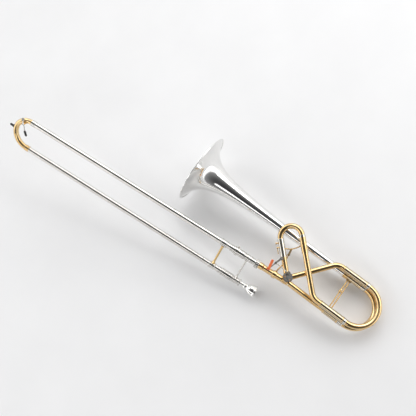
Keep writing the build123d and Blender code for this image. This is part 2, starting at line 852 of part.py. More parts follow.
def cross_tube():
    """From the short slide's right sleeve down to the lower long leg, bending onto its line."""
    top = short_end(1, SHORT_SLEEVE_START_S)
    end = v(F_LONG_SLEEVE_START_X, F_PLANE_Y, F_LOWER_Z)
    return bent_pipe([top, cross_corner(), end], 34.0, F_TUBE_R, F_TUBE_R - TUBE_WALL)


def diagonal_tube():
    """From the valve up to the upper long leg, bending onto its line."""
    corner = v(F_CORNER_X, F_PLANE_Y, diagonal_corner_z())
    end = v(F_LONG_SLEEVE_START_X, F_PLANE_Y, diagonal_corner_z())
    path = [valve_centre(), corner, end]
    tube = bent_pipe(path, 30.0, F_TUBE_R, F_TUBE_R - TUBE_WALL)
    return tube - casing_envelope() - short_leg_solid(0, 0, 60, F_TUBE_R)


def long_leg_z(leg):
    return F_LOWER_Z + F_BOW_SPACING * leg


def long_sleeves():
    """Two nickel sleeves of the long F slide."""
    inner = F_TUBE_R - 0.9 + FIT_GAP
    return [
        pipe(
            v(F_LONG_SLEEVE_START_X, F_PLANE_Y, long_leg_z(leg)),
            v(F_LONG_SLEEVE_END_X, F_PLANE_Y, long_leg_z(leg)),
            F_SLEEVE_R,
            inner,
        )
        for leg in (0, 1)
    ]


def long_bow():
    low = v(F_BOW_X, F_PLANE_Y, long_leg_z(0))
    high = v(F_BOW_X, F_PLANE_Y, long_leg_z(1))
    return bow_pipe(low, high, v(-1, 0, 0), F_TUBE_R, F_TUBE_R - TUBE_WALL)


def long_slide_legs():
    return [
        slide_leg(
            v(F_LONG_SLEEVE_END_X, F_PLANE_Y, long_leg_z(leg)),
            v(F_LONG_SLEEVE_START_X - 3, F_PLANE_Y, long_leg_z(leg)),
            F_TUBE_R - 0.9,
            F_SLEEVE_R + 0.2,
            v(F_BOW_X, F_PLANE_Y, long_leg_z(leg)),
        )
        for leg in (0, 1)
    ]


# ---------------------------------------------------------------- braces of the F tubing


def arched_brace():
    """Bowed wire between the short slide's sleeves."""
    left = short_end(0, 94)
    right = short_end(1, 94)
    along, _, _ = short_axes()
    span = right - left
    inset = span.normalized() * (F_SLEEVE_R - 0.4)
    middle = (left + right) * 0.5 - along * 4.5
    path = ThreePointArc(left + inset, middle, right - inset)
    wire = sweep(Plane(origin=path @ 0, z_dir=path % 0) * Circle(1.7), path=path)
    for leg in (0, 1):
        wire = wire - rod(short_end(leg, 60), short_end(leg, 110), F_SLEEVE_R)
    return wire


def scroll_brace():
    """Leaf-shaped stay from the arched brace down to the valve leg, with a round boss."""
    left = short_end(0, 94)
    right = short_end(1, 94)
    along, _, across = short_axes()
    up = v(0, 1, 0)
    top = left + (right - left) * 0.42 - along * 4.5
    boss = short_leg_point(0, 76) + across * 14 + up * 2
    low = short_leg_point(0, 63) + across * 5
    leaf = Plane(origin=(top + boss) * 0.5, x_dir=(top - boss).normalized(), z_dir=up) * SlotOverall(21, 5.4)
    plate = extrude(leaf, amount=1.3, both=True)
    disc = rod(boss - up * 1.7, boss + up * 1.7, 3.8)
    stay = rod(boss, low, 1.5)
    body = plate + disc + stay
    sleeve = rod(short_end(0, SHORT_SLEEVE_START_S), short_end(0, SHORT_SLEEVE_END_S), F_SLEEVE_R)
    return body - short_leg_solid(0, 20, SHORT_SLEEVE_START_S, F_TUBE_R) - sleeve - arched_brace()


def stem_bracket():
    """Bracket from the short slide's right sleeve down to the bell stem."""
    top = short_end(1, 102)
    foot = v(top.X - 4, 0, BELL_OFFSET)
    bar = rod(foot, top, 2.6)
    pad = turned([(0, 0), (0, 6.5), (2.0, 6.2), (6, 2.6), (6, 0)], v(foot.X, 9.6, foot.Z), v(0, 1, 0))
    stem = rod(v(-60, 0, BELL_OFFSET), v(260, 0, BELL_OFFSET), 8.0)
    body = bar + pad - stem - rod(short_end(1, SHORT_SLEEVE_START_S), short_end(1, 116), F_SLEEVE_R)
    return body - bell_outside()


def leg_knobs():
    """Two small turned knobs on the outer side of the left sleeve, and the thin rod under them."""
    _, _, across = short_axes()
    parts = []
    for s, length in ((111, 7.5), (99, 6.5)):
        foot = short_end(0, s) - across * (F_SLEEVE_R - 0.3)
        profile = [(0, 0), (0, 2.0), (length - 3, 1.7), (length - 2.6, 3.2), (length, 3.0), (length, 0)]
        parts.append(turned(profile, foot, -across))
    low = short_end(0, 82) - across * 13.0
    high = short_end(0, 98) - across * 13.0
    parts.append(rod(low, high, 1.1))
    sleeve = rod(short_end(0, 74), short_end(0, 114), F_SLEEVE_R)
    return fuse_all(parts) - sleeve


# ---------------------------------------------------------------- main bell section, bell frame


def flare_radius(d):
    """Outside radius of the bell at distance d behind the rim: a Bessel horn."""
    return RIM_R * (FLARE_SCALE / (d + FLARE_SCALE)) ** FLARE_POWER


def horn(start, end, count, wall):
    """A stretch of the bell's wall between two distances behind the rim."""
    steps = [start + (end - start) * (i / (count - 1)) ** 1.6 for i in range(count)]
    x_of = [RIM_FORWARD - d for d in steps]
    outer = [(x, BELL_OFFSET + flare_radius(d)) for x, d in zip(x_of, steps)]
    inner = [(x, BELL_OFFSET + flare_radius(d) - wall) for x, d in zip(x_of, steps)]
    edge = Spline(*outer)
    back = Spline(*reversed(inner))
    outline = edge + Line(outer[-1], inner[-1]) + back + Line(inner[0], outer[0])
    face = Plane.XZ * make_face(outline)
    return revolve(face, axis=Axis(v(0, 0, BELL_OFFSET), v(1, 0, 0)))


def bell_outside():
    """The bell stem's outside as a solid, which brackets are cut back to."""
    last_step = RIM_FORWARD - STEM_END_X
    steps = [150 + (last_step - 150) * i / 10 for i in range(11)]
    points = [(RIM_FORWARD - d, BELL_OFFSET + flare_radius(d)) for d in steps]
    edge = Spline(*points)
    first = (points[0][0], BELL_OFFSET)
    last = (points[-1][0], BELL_OFFSET)
    outline = edge + Line(points[-1], last) + Line(last, first) + Line(first, points[0])
    return revolve(Plane.XZ * make_face(outline), axis=Axis(v(0, 0, BELL_OFFSET), v(1, 0, 0)))


def bell_flare():
    return horn(0.0, FLARE_LENGTH, 14, BELL_WALL) - rim_bead()


def rim_bead():
    """Wire bead round the rim."""
    centre = v(RIM_FORWARD - 0.9, 0, BELL_OFFSET)
    return Plane(origin=centre, z_dir=v(1, 0, 0)) * Torus(RIM_R - 0.7, 1.7)


def bell_stem():
    return horn(FLARE_LENGTH, RIM_FORWARD - STEM_END_X, 12, BELL_WALL)


def bell_tail_ring():
    """Ring where the bell stem enters the tuning slide's upper sleeve."""
    return ring(v(STEM_END_X + 5, 0, BELL_OFFSET), v(1, 0, 0), 5.0, 10.6, 8.0) - bell_outside()


def main_leg():
    """Lower leg from the valve to the tuning slide's lower sleeve."""
    tube = pipe(v(2, 0, 0), v(MAIN_SLEEVE_START_X, 0, 0), MAIN_TUBE_R, MAIN_TUBE_R - TUBE_WALL)
    return tube - casing_envelope()


def main_sleeves():
    """Two sleeves of the main tuning slide."""
    inner = MAIN_TUBE_R + FIT_GAP
    sleeves = []
    for z in (0, BELL_OFFSET):
        start = v(MAIN_SLEEVE_START_X, 0, z)
        end = v(MAIN_SLEEVE_END_X, 0, z)
        sleeves.append(pipe(start, end, MAIN_SLEEVE_R, inner))
    return sleeves


def main_bow():
    low = v(MAIN_BOW_X, 0, 0)
    high = v(MAIN_BOW_X, 0, BELL_OFFSET)
    return bow_pipe(low, high, v(-1, 0, 0), MAIN_BOW_R, MAIN_BOW_R - TUBE_WALL)


def main_slide_legs():
    return [
        slide_leg(
            v(MAIN_SLEEVE_END_X, 0, BELL_OFFSET * leg),
            v(MAIN_SLEEVE_START_X - 2, 0, BELL_OFFSET * leg),
            MAIN_TUBE_R,
            MAIN_SLEEVE_R + 0.4,
            v(MAIN_BOW_X, 0, BELL_OFFSET * leg),
        )
        for leg in (0, 1)
    ]


BRACE_X = -124.0


def tuning_slide_brace():
    """Two parallel rods between the main sleeves, a turned knob, and a foot at each end."""
    parts = []
    for shift in (-3.4, 3.4):
        low = v(BRACE_X + shift, 0, MAIN_SLEEVE_R - 0.4)
        high = v(BRACE_X + shift, 0, BELL_OFFSET - MAIN_SLEEVE_R + 0.4)
        parts.append(rod(low, high, 1.9))
    for base, side in ((0, 1), (BELL_OFFSET, -1)):
        foot = v(BRACE_X, 0, base + side * (MAIN_SLEEVE_R + 1.2))
        parts.append(slab(foot, v(1, 0, 0), v(0, 0, 1), 14.0, 7.0, 3.4))
    centre = v(BRACE_X + 3.4, 0, 68.0)
    profile = [(-7, 0), (-7, 2.2), (-4, 2.6), (-2.5, 4.2), (2.5, 4.2), (4, 2.6), (7, 2.2), (7, 0)]
    parts.append(turned(profile, centre, v(0, 0, 1)))
    tie = rod(v(BRACE_X - 3.4, 0, 68.0), v(BRACE_X + 3.4, 0, 68.0), 1.6)
    parts.append(tie)
    body = fuse_all(parts)
    for base in (0, BELL_OFFSET):
        body = body - rod(v(BRACE_X - 14, 0, base), v(BRACE_X + 14, 0, base), MAIN_SLEEVE_R)
    return body


# ---------------------------------------------------------------- assembly


def fuse_all(shapes):
    body = shapes[0]
    for shape in shapes[1:]:
        body = body + shape
    return body


SLIDE_NODES = {
    "inner_tube_bell_leg": lambda: inner_tube(0),
    "inner_tube_mouthpiece_leg": lambda: inner_tube(1),
    "cork_barrels": lambda: [cork_barrel(0), cork_barrel(1)],
    "barrel_felts": lambda: [barrel_felt(0), barrel_felt(1)],
    "inner_slide_brace": inner_slide_brace,
    "slide_tenon": slide_tenon,
    "mouthpiece_receiver": mouthpiece_receiver,
    "receiver_ring": receiver_ring,
    "leadpipe": leadpipe,
    "mouthpiece": mouthpiece,
    "slide_lock_ring": slide_lock_ring,
    "bell_lock_nut": bell_lock_nut,
    "outer_tube_bell_leg": lambda: outer_tube(0),
    "outer_tube_mouthpiece_leg": lambda: outer_tube(1),
    "slide_crook": slide_crook,
    "crook_ferrules": crook_ferrules,
    "outer_end_ferrules": outer_end_ferrules,
    "outer_slide_brace": outer_slide_brace,
    "slide_bumper": slide_bumper,
    "water_key_seat": water_key_seat,
    "water_key_lever": water_key_lever,
    "water_key_cork": water_key_cork,
    "water_key_tip": water_key_tip,
}

BELL_NODES = {
    "gooseneck": gooseneck,
    "gooseneck_collar": gooseneck_collar,
    "rotor_casing": rotor_casing,
    "valve_plates": valve_plates,
    "stop_corks": stop_corks,
    "rotor_core": rotor_core,
    "rotor_crank": rotor_crank,
    "crank_screw": lambda: linkage_screw(crank_pin_point(CASING_HIGH_Y + 6.4), 5.8),
    "linkage_rod": linkage_rod,
    "thumb_lever": thumb_lever,
    "touch_piece": touch_piece,
    "lever_screw": lambda: linkage_screw(lever_joint_point(LEVER_HIGH_Y), 4.6),
    "lever_post": lever_post,
    "lever_spring": lever_spring,
    "neck_brace": neck_brace,
    "valve_leg": valve_leg,
    "short_sleeves": short_sleeves,
    "short_bow": short_bow,
    "short_slide_legs": short_slide_legs,
    "cross_tube": cross_tube,
    "diagonal_tube": diagonal_tube,
    "long_sleeves": long_sleeves,
    "long_bow": long_bow,
    "long_slide_legs": long_slide_legs,
    "arched_brace": arched_brace,
    "scroll_brace": scroll_brace,
    "stem_bracket": stem_bracket,
    "leg_knobs": leg_knobs,
    "bell_flare": bell_flare,
    "bell_rim_wire": rim_bead,
    "bell_stem": bell_stem,
    "bell_tail_ring": bell_tail_ring,
    "main_leg": main_leg,
    "main_sleeves": main_sleeves,
    "main_bow": main_bow,
    "main_slide_legs": main_slide_legs,
    "tuning_slide_brace": tuning_slide_brace,
}


def gather(shape):
    """All solids of a shape or of a list of shapes."""
    shapes = shape if isinstance(shape, list) else [shape]
    found = []
    for item in shapes:
        found.extend(item.solids())
    return found


def build():
    """Every node's solids in the slide frame."""
    nodes = {}
    for name, make in SLIDE_NODES.items():
        nodes[name] = gather(make())
    to_slide = bell_plane().location
    for name, make in BELL_NODES.items():
        nodes[name] = [to_slide * solid for solid in gather(make())]
    return nodes


def box_corners(solids):
    """Lowest and highest corners of the box round all solids."""
    boxes = [solid.bounding_box() for solid in solids]
    low = v(min(b.min.X for b in boxes), min(b.min.Y for b in boxes), min(b.min.Z for b in boxes))
    high = v(max(b.max.X for b in boxes), max(b.max.Y for b in boxes), max(b.max.Z for b in boxes))
    return low, high


def resting_location(nodes):
    """Turns the slide frame to the lying pose and puts the box's bottom centre at the origin."""
    climb = math.radians(SLIDE_CLIMB)
    roll = math.radians(SLIDE_ROLL)
    up = v(math.sin(climb), -math.cos(climb) * math.sin(roll), math.cos(climb) * math.cos(roll))
    level_forward = (FORWARD - up * up.X).normalized()
    turn = Plane(origin=(0, 0, 0), x_dir=level_forward, z_dir=up).location.inverse()
    low, high = box_corners([turn * solid for solids in nodes.values() for solid in solids])
    shift = v(-(low.X + high.X) / 2, -(low.Y + high.Y) / 2, -low.Z)
    return Location(shift) * turn


def main():
    nodes = build()
    place = resting_location(nodes)
    for name, solids in nodes.items():
        placed = [place * solid for solid in solids]
        shape = placed[0] if len(placed) == 1 else Compound(placed)
        export_step(shape, f"parts/{name}.step")
    print(len(nodes), "nodes")


if __name__ == "__main__":
    main()
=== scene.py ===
import math

import bpy
from mathutils import Matrix, Vector


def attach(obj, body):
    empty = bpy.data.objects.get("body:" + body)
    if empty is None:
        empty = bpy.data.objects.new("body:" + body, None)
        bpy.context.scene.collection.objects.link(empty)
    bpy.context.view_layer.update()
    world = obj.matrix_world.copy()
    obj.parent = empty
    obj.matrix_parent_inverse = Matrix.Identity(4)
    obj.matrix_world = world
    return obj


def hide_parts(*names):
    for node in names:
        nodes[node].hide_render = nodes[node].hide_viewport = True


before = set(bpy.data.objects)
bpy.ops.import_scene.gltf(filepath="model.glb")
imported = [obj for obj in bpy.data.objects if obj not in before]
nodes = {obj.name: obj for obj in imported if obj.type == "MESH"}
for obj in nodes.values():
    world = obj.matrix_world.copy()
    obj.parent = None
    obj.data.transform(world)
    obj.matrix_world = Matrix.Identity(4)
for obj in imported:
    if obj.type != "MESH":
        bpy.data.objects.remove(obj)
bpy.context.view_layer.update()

# ---------------------------------------------------------------- the instrument's own directions
# hand slide: origin on the bell-side leg, forward to the crook, side to the mouthpiece leg
SLIDE_ORIGIN = Vector((-0.15990, 0.08074, 0.09279))
SLIDE_FORWARD = Vector((0.9842, 0.0, 0.1771)).normalized()
SLIDE_SIDE = Vector((0.1128, 0.7710, -0.6268)).normalized()
SLIDE_UP = SLIDE_FORWARD.cross(SLIDE_SIDE)

# bell section: origin where the neck meets the slide axis, out on the valve's side,
# over towards the bell
BELL_ORIGIN = Vector((-0.33164, 0.08074, 0.06188))
BELL_FORWARD = Vector((0.9832, -0.0857, 0.1609)).normalized()
BELL_OUT = Vector((-0.1742, -0.1812, 0.9679)).normalized()
BELL_OVER = BELL_FORWARD.cross(BELL_OUT)

# hand slide, in millimetres: its two legs, and the sockets of its braces
SLIDE_LEGS = (0.0, 88.0)
SOCKET_R = 9.3
SOCKET_REACH = 10.4
OUTER_SOCKET_ENDS = (22.6, 39.4)
INNER_SOCKET_ENDS = (-47.6, -40.4)

# water key: how far it is turned round the crook, in degrees, its pin and its spring
WATER_KEY_TURN = 26
WATER_KEY_PIN = (693.5, 8.05, 15.0)
WATER_KEY_COIL_R = 2.45

# tuning slides, in millimetres: their legs and the ends of their sleeves
MAIN_LEGS = (0.0, 115.0)
MAIN_SLEEVE_ENDS = (-113.6, -156.6)
MAIN_SLEEVE_R = 9.35
LONG_LEGS = (2.7, 119.3)
LONG_LEGS_OUT = 22
LONG_SLEEVE_ENDS = (-93.6, -164.6)
LONG_SLEEVE_R = 8.65
SHORT_SLIDE_TURN = 44
SHORT_SLIDE_MIDDLE = 24

# beads on the sleeves and the sockets, in millimetres
SLEEVE_BEAD_HEIGHT = 0.75
SLEEVE_BEAD_HALF = 1.3
SOCKET_BEAD_HEIGHT = 0.6

# thumb lever's spring, in millimetres
LEVER_POST = (57.0, 37.0)
LEVER_COIL_R = 3.4
LEVER_COIL_FOOT = 18.0
LEVER_COIL_RISE = 5.0


def slide_point(forward, side, up):
    """A point given in millimetres along the hand slide's directions."""
    return SLIDE_ORIGIN + (SLIDE_FORWARD * forward + SLIDE_SIDE * side + SLIDE_UP * up) * 0.001


def bell_point(forward, out, over):
    """A point given in millimetres along the bell section's directions."""
    return BELL_ORIGIN + (BELL_FORWARD * forward + BELL_OUT * out + BELL_OVER * over) * 0.001


def turn_to(forward, side):
    """Rotation that turns the row's axes onto a part's own directions."""
    up = forward.cross(side).normalized()
    side = up.cross(forward).normalized()
    return Matrix((forward.normalized(), side, up)).transposed().to_euler()


# ---------------------------------------------------------------- material helpers


def new_material(name):
    """An empty node material and its shader."""
    mat = bpy.data.materials.new(name)
    mat.use_nodes = True
    tree = mat.node_tree
    shader = tree.nodes["Principled BSDF"]
    return mat, tree, shader


def own_axes(tree, turn, scale):
    """Object coordinates turned onto a part's own directions and stretched."""
    coords = tree.nodes.new("ShaderNodeTexCoord")
    mapping = tree.nodes.new("ShaderNodeMapping")
    mapping.vector_type = "TEXTURE"
    mapping.inputs["Rotation"].default_value = turn
    stretch = tree.nodes.new("ShaderNodeMapping")
    stretch.inputs["Scale"].default_value = scale
    tree.links.new(coords.outputs["Object"], mapping.inputs["Vector"])
    tree.links.new(mapping.outputs["Vector"], stretch.inputs["Vector"])
    return stretch.outputs["Vector"]


def noise(tree, vector, scale, detail=3.0, rough=0.55):
    node = tree.nodes.new("ShaderNodeTexNoise")
    node.inputs["Scale"].default_value = scale
    node.inputs["Detail"].default_value = detail
    node.inputs["Roughness"].default_value = rough
    tree.links.new(vector, node.inputs["Vector"])
    return node.outputs["Fac"]


def spread(tree, value, low, high):
    """Maps a 0.3 to 0.7 noise value onto a range."""
    node = tree.nodes.new("ShaderNodeMapRange")
    node.inputs["From Min"].default_value = 0.3
    node.inputs["From Max"].default_value = 0.7
    node.inputs["To Min"].default_value = low
    node.inputs["To Max"].default_value = high
    tree.links.new(value, node.inputs["Value"])
    return node.outputs["Result"]


def blend_colours(tree, value, first, second):
    ramp = tree.nodes.new("ShaderNodeValToRGB")
    ramp.color_ramp.elements[0].position = 0.32
    ramp.color_ramp.elements[0].color = (*first, 1)
    ramp.color_ramp.elements[1].position = 0.68
    ramp.color_ramp.elements[1].color = (*second, 1)
    tree.links.new(value, ramp.inputs["Fac"])
    return ramp.outputs["Color"]


def bump(tree, shader, height, strength, distance):
    node = tree.nodes.new("ShaderNodeBump")
    node.inputs["Strength"].default_value = strength
    node.inputs["Distance"].default_value = distance
    tree.links.new(height, node.inputs["Height"])
    tree.links.new(node.outputs["Normal"], shader.inputs["Normal"])


def polished_metal(name, first, second, turn, streak, shine, coat=0.0):
    """Plated or lacquered metal: colour clouds, buffing streaks one way, faint handling marks."""
    mat, tree, shader = new_material(name)
    shader.inputs["Metallic"].default_value = 1.0
    shader.inputs["Coat Weight"].default_value = coat
    shader.inputs["Coat Roughness"].default_value = 0.04
    plain = own_axes(tree, turn, (1, 1, 1))
    streaks = own_axes(tree, turn, streak)
    clouds = noise(tree, plain, 22.0, 4.0)
    lines = noise(tree, streaks, 60.0, 5.0, 0.7)
    marks = noise(tree, plain, 140.0, 2.0)
    tree.links.new(blend_colours(tree, clouds, first, second), shader.inputs["Base Color"])
    mixed = tree.nodes.new("ShaderNodeMath")
    mixed.operation = "MULTIPLY"
    tree.links.new(lines, mixed.inputs[0])
    tree.links.new(spread(tree, marks, 0.75, 1.25), mixed.inputs[1])
    roughness = spread(tree, mixed.outputs["Value"], shine[0], shine[1])
    tree.links.new(roughness, shader.inputs["Roughness"])
    bump(tree, shader, lines, 0.05, 0.00006)
    return mat


def rubber(name, first, second):
    """Moulded black rubber with a fine matt grain."""
    mat, tree, shader = new_material(name)
    vector = own_axes(tree, (0, 0, 0), (1, 1, 1))
    clouds = noise(tree, vector, 90.0, 3.0)
    grain = noise(tree, vector, 2400.0, 2.0)
    tree.links.new(blend_colours(tree, clouds, first, second), shader.inputs["Base Color"])
    tree.links.new(spread(tree, clouds, 0.45, 0.7), shader.inputs["Roughness"])
    bump(tree, shader, grain, 0.25, 0.0001)
    return mat


def cork(name):
    """Cork: pale ground with dark pores and flecks."""
    mat, tree, shader = new_material(name)
    vector = own_axes(tree, (0, 0, 0), (1, 1, 1))
    ground = noise(tree, vector, 700.0, 4.0)
    pores = tree.nodes.new("ShaderNodeTexVoronoi")
    pores.inputs["Scale"].default_value = 1500.0
    tree.links.new(vector, pores.inputs["Vector"])
    colour = blend_colours(tree, ground, (0.16, 0.08, 0.035), (0.46, 0.27, 0.13))
    tree.links.new(colour, shader.inputs["Base Color"])
    shader.inputs["Roughness"].default_value = 0.85
    bump(tree, shader, pores.outputs["Distance"], 0.5, 0.0002)
    return mat


def felt(name):
    """Red felt with a fuzzy surface."""
    mat, tree, shader = new_material(name)
    vector = own_axes(tree, (0, 0, 0), (1, 1, 1))
    fibres = noise(tree, vector, 1800.0, 5.0, 0.8)
    colour = blend_colours(tree, fibres, (0.22, 0.015, 0.012), (0.5, 0.05, 0.04))
    tree.links.new(colour, shader.inputs["Base Color"])
    shader.inputs["Roughness"].default_value = 0.95
    shader.inputs["Sheen Weight"].default_value = 0.5
    bump(tree, shader, fibres, 0.6, 0.0003)
    return mat


def touch_plastic(name):
    """Glossy orange moulded plastic, slightly cloudy, with fine rub marks from the thumb."""
    mat, tree, shader = new_material(name)
    vector = own_axes(tree, (0, 0, 0), (1, 1, 1))
    clouds = noise(tree, vector, 160.0, 4.0)
    rubs = noise(tree, vector, 900.0, 3.0)
    colour = blend_colours(tree, clouds, (0.62, 0.10, 0.025), (0.80, 0.20, 0.05))
    tree.links.new(colour, shader.inputs["Base Color"])
    tree.links.new(spread(tree, rubs, 0.18, 0.38), shader.inputs["Roughness"])
    shader.inputs["Coat Weight"].default_value = 0.4
    shader.inputs["Subsurface Weight"].default_value = 0.08
    shader.inputs["Subsurface Radius"].default_value = (0.004, 0.001, 0.0005)
    bump(tree, shader, rubs, 0.08, 0.0001)
    return mat


# ---------------------------------------------------------------- the materials
ALONG_SLIDE = turn_to(SLIDE_FORWARD, SLIDE_SIDE)
ALONG_BELL = turn_to(BELL_FORWARD, BELL_OUT)
DRAWN = (0.06, 1.0, 1.0)
SPUN = (2.2, 0.05, 0.05)
BUFFED = (1.0, 1.0, 1.0)

silver_bell = polished_metal(
    "spun_silver", (0.80, 0.80, 0.79), (0.90, 0.89, 0.87), ALONG_BELL, SPUN, (0.05, 0.13)
)
silver_cup = polished_metal(
    "turned_silver", (0.78, 0.77, 0.75), (0.88, 0.87, 0.84), ALONG_SLIDE, SPUN, (0.05, 0.12)
)
gold_bell = polished_metal(
    "gold_bell_tubes", (0.70, 0.47, 0.20), (0.82, 0.60, 0.31), ALONG_BELL, DRAWN, (0.08, 0.17), 0.6
)
gold_slide = polished_metal(
    "gold_slide_parts", (0.70, 0.48, 0.21), (0.82, 0.61, 0.32), ALONG_SLIDE, BUFFED, (0.08, 0.17), 0.6
)
nickel_slide = polished_metal(
    "nickel_tubes", (0.66, 0.64, 0.60), (0.77, 0.75, 0.71), ALONG_SLIDE, DRAWN, (0.07, 0.16)
)
nickel_bell = polished_metal(
    "nickel_fittings_bell", (0.60, 0.57, 0.50), (0.72, 0.68, 0.61), ALONG_BELL, DRAWN, (0.08, 0.18)
)
warm_sleeves = polished_metal(
    "warm_sleeves", (0.56, 0.45, 0.29), (0.68, 0.56, 0.38), ALONG_BELL, DRAWN, (0.08, 0.18), 0.4
)
nickel_turned = polished_metal(
    "nickel_fittings", (0.58, 0.57, 0.54), (0.72, 0.70, 0.66), ALONG_SLIDE, SPUN, (0.08, 0.20)
)
steel = polished_metal(
    "spring_steel", (0.34, 0.34, 0.35), (0.46, 0.46, 0.47), ALONG_BELL, BUFFED, (0.18, 0.32)
)
black = rubber("black_rubber", (0.012, 0.012, 0.013), (0.035, 0.034, 0.033))
brown_cork = cork("cork")
red_felt = felt("red_felt")
orange = touch_plastic("orange_plastic")

FINISH = {
    silver_bell: ["bell_flare", "bell_stem", "bell_rim_wire"],
    silver_cup: ["mouthpiece"],
    gold_bell: [
        "gooseneck", "gooseneck_collar", "rotor_casing", "neck_brace", "valve_leg",
        "short_bow", "cross_tube", "diagonal_tube", "long_bow", "arched_brace", "scroll_brace",
        "stem_bracket", "leg_knobs", "main_leg", "main_bow", "tuning_slide_brace", "rotor_core",
        "bell_tail_ring",
    ],
    gold_slide: ["slide_crook", "crook_ferrules", "outer_slide_brace", "water_key_seat"],
    nickel_slide: [
        "inner_tube_bell_leg", "inner_tube_mouthpiece_leg", "outer_tube_bell_leg",
        "outer_tube_mouthpiece_leg", "inner_slide_brace", "leadpipe",
    ],
    nickel_bell: [
        "short_sleeves", "short_slide_legs", "long_slide_legs", "main_slide_legs", "crank_screw",
        "lever_screw", "linkage_rod", "thumb_lever", "lever_post",
    ],
    warm_sleeves: ["long_sleeves", "main_sleeves"],
    nickel_turned: [
        "cork_barrels", "slide_tenon", "mouthpiece_receiver", "receiver_ring", "slide_lock_ring",
        "bell_lock_nut", "outer_end_ferrules", "water_key_lever", "valve_plates", "rotor_crank",
    ],
    steel: ["lever_spring"],
    black: ["slide_bumper", "water_key_tip"],
    brown_cork: ["water_key_cork", "stop_corks"],
    red_felt: ["barrel_felts"],
    orange: ["touch_piece"],
}


def finish_nodes():
    """Gives every node of the instrument its material."""
    for mat, names in FINISH.items():
        for name in names:
            mesh = nodes[name].data
            mesh.materials.clear()
            mesh.materials.append(mat)


def second_finish(name, mat, chosen):
    """Gives the faces of a node that the test picks a second material."""
    mesh = nodes[name].data
    mesh.materials.append(mat)
    for face in mesh.polygons:
        if chosen(face.center):
            face.material_index = 1


def on_right_leg(point):
    """On the short F slide's right leg, the one nearer the bell."""
    local = (point - BELL_ORIGIN) * 1000
    turn = math.radians(SHORT_SLIDE_TURN)
    across = math.cos(turn) * local.dot(BELL_OVER) - math.sin(turn) * local.dot(BELL_FORWARD)
    return across > SHORT_SLIDE_MIDDLE


def on_slide_socket(point):
    """On a socket of the outer slide's brace, close to one of the two tubes."""
    local = (point - SLIDE_ORIGIN) * 1000
    side = local.dot(SLIDE_SIDE)
    up = local.dot(SLIDE_UP)
    return min(math.hypot(side - leg, up) for leg in SLIDE_LEGS) < SOCKET_REACH


def on_bell_side(point):
    """On the hand slide's bell-side leg."""
    local = (point - SLIDE_ORIGIN) * 1000
    return local.dot(SLIDE_SIDE) < sum(SLIDE_LEGS) / 2


finish_nodes()
second_finish("short_sleeves", gold_bell, on_right_leg)
second_finish("outer_slide_brace", nickel_turned, on_slide_socket)
second_finish("crook_ferrules", nickel_turned, on_bell_side)

# ---------------------------------------------------------------- fine pieces


def add_piece(name, verts, faces, mat, body):
    """Puts a smooth-shaded mesh in the scene and lets it ride on a body."""
    mesh = bpy.data.meshes.new(name)
    mesh.from_pydata([tuple(p) for p in verts], [], faces)
    mesh.polygons.foreach_set("use_smooth", [True] * len(mesh.polygons))
    mesh.materials.append(mat)
    mesh.update()
    obj = bpy.data.objects.new(name, mesh)
    bpy.context.scene.collection.objects.link(obj)
    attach(obj, body)
    return obj


def cross_axes(along):
    """Two directions square to an axis."""
    guide = Vector((0, 0, 1)) if abs(along.z) < 0.9 else Vector((1, 0, 0))
    first = along.cross(guide).normalized()
    return first, along.cross(first).normalized()


def lathe(name, profile, origin, along, mat, body, count=64):
    """Turned ring: a closed profile of (distance, radius) in millimetres spun round an axis."""
    along = along.normalized()
    first, second = cross_axes(along)
    verts = []
    for step in range(count):
        turn = 2 * math.pi * step / count
        radial = first * math.cos(turn) + second * math.sin(turn)
        for distance, radius in profile:
            verts.append(origin + (along * distance + radial * radius) * 0.001)
    size = len(profile)
    faces = []
    for step in range(count):
        after = (step + 1) % count
        for i in range(size):
            j = (i + 1) % size
            faces.append((step * size + i, after * size + i, after * size + j, step * size + j))
    return add_piece(name, verts, faces, mat, body)


def wire(name, points, radius, mat, body, count=10):
    """Round wire along a line of points, with closed ends; radius in millimetres."""
    verts = []
    faces = []
    first = None
    for i, here in enumerate(points):
        before = points[max(i - 1, 0)]
        after = points[min(i + 1, len(points) - 1)]
        along = (after - before).normalized()
        if first is None:
            first, _ = cross_axes(along)
        first = (first - along * first.dot(along)).normalized()
        second = along.cross(first)
        for step in range(count):
            turn = 2 * math.pi * step / count
            verts.append(here + (first * math.cos(turn) + second * math.sin(turn)) * radius * 0.001)
    last_ring = (len(points) - 1) * count
    for ring in range(0, last_ring, count):
        next_ring = ring + count
        for step in range(count):
            after = (step + 1) % count
            faces.append((ring + step, ring + after, next_ring + after, next_ring + step))
    faces.append(tuple(reversed(range(count))))
    faces.append(tuple(range(last_ring, last_ring + count)))
    return add_piece(name, verts, faces, mat, body)


def bead_profile(inner, height, half):
    """Half-round bead on a tube of radius inner; half is half its length along the tube."""
    steps = 10
    arc = [math.pi * i / steps for i in range(steps + 1)]
    return [(-half * math.cos(t), inner + height * math.sin(t)) for t in arc]


def sleeve_beads(label, radius, legs, out, ends):
    """Soldered beads at both ends of a tuning slide's two sleeves."""
    bead = bead_profile(radius, SLEEVE_BEAD_HEIGHT, SLEEVE_BEAD_HALF)
    for leg, over in enumerate(legs):
        for end, forward in enumerate(ends):
            place = bell_point(forward, out, over)
            name = f"{label}_sleeve_bead_{leg}{end}"
            lathe(name, bead, place, BELL_FORWARD, gold_bell, "instrument")


def brace_beads(label, ends, half, body):
    """Fine beads at both ends of the two sockets of one of the hand slide's braces."""
    bead = bead_profile(SOCKET_R, SOCKET_BEAD_HEIGHT, half)
    for leg, side in enumerate(SLIDE_LEGS):
        for end, forward in enumerate(ends):
            place = slide_point(forward, side, 0)
            name = f"{label}_brace_bead_{leg}{end}"
            lathe(name, bead, place, SLIDE_FORWARD, nickel_turned, body)


